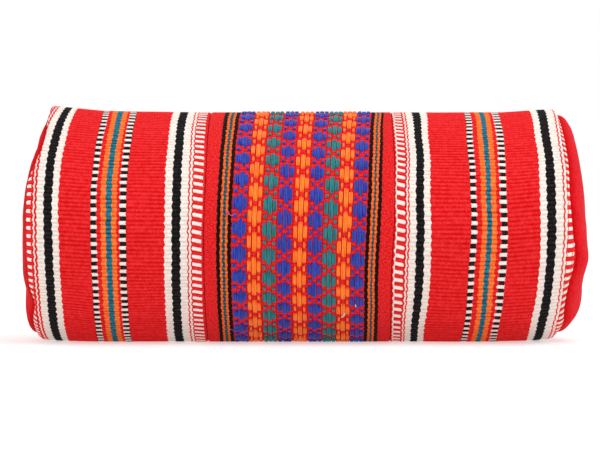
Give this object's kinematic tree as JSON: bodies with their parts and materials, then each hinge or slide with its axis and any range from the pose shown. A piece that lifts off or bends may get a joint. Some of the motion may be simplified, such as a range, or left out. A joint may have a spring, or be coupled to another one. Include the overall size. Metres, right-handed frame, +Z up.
{
  "type": "woven zip pouch",
  "caption": "Barrel-shaped travel pouch of striped warp-faced cloth with a patterned centre band, round ends and a coil zip behind its crest.",
  "frame": {"origin": "centre of the pouch's footprint box, on the surface that it rests on", "axes": "+X along the barrel towards the bulging end, +Y to the back, where the zip lies behind the crest, +Z up"},
  "size_m": [0.2518, 0.1217, 0.1063],
  "materials": {
    "striped_cloth": "ribbed warp-faced weave, red with white, black, orange and teal stripes",
    "patterned_cloth": "warp-faced band with raised blue, orange and teal pattern threads",
    "red_twill": "plain red twill",
    "zip_tape": "woven tape",
    "zip_coil": "nylon coil",
    "zip_metal": "brushed nickel-tone metal",
    "lining": "thin undyed cotton"
  },
  "bodies": {
    "pouch": {"left_panel": "striped_cloth", "centre_band": "patterned_cloth", "right_panel": "striped_cloth", "left_end": "red_twill", "right_end": "red_twill", "zip_cover_left": "red_twill", "zip_cover_right": "red_twill", "zip_tape_front": "zip_tape", "zip_tape_back": "zip_tape", "zip_coil_front": "zip_coil", "zip_coil_back": "zip_coil", "zip_top_stop_front": "zip_metal", "zip_top_stop_back": "zip_metal", "zip_bottom_stop": "zip_metal", "lining_tube": "lining", "lining_end_left": "lining", "lining_end_right": "lining"},
    "slider": {"zip_slider": "zip_metal"},
    "pull": {"zip_pull": "zip_metal"}
  },
  "joints": [
    {"name": "slider_travel", "type": "slide", "parent": "pouch", "child": "slider", "axis": [-1, 0, 0], "range_m": [0, 0.166]},
    {"name": "pull_swing", "type": "hinge", "parent": "slider", "child": "pull", "pos_m": [0.0812, 0.02083, 0.10239], "axis": [0, 0.9184, -0.3957], "range_deg": [0, 170]}
  ]
}
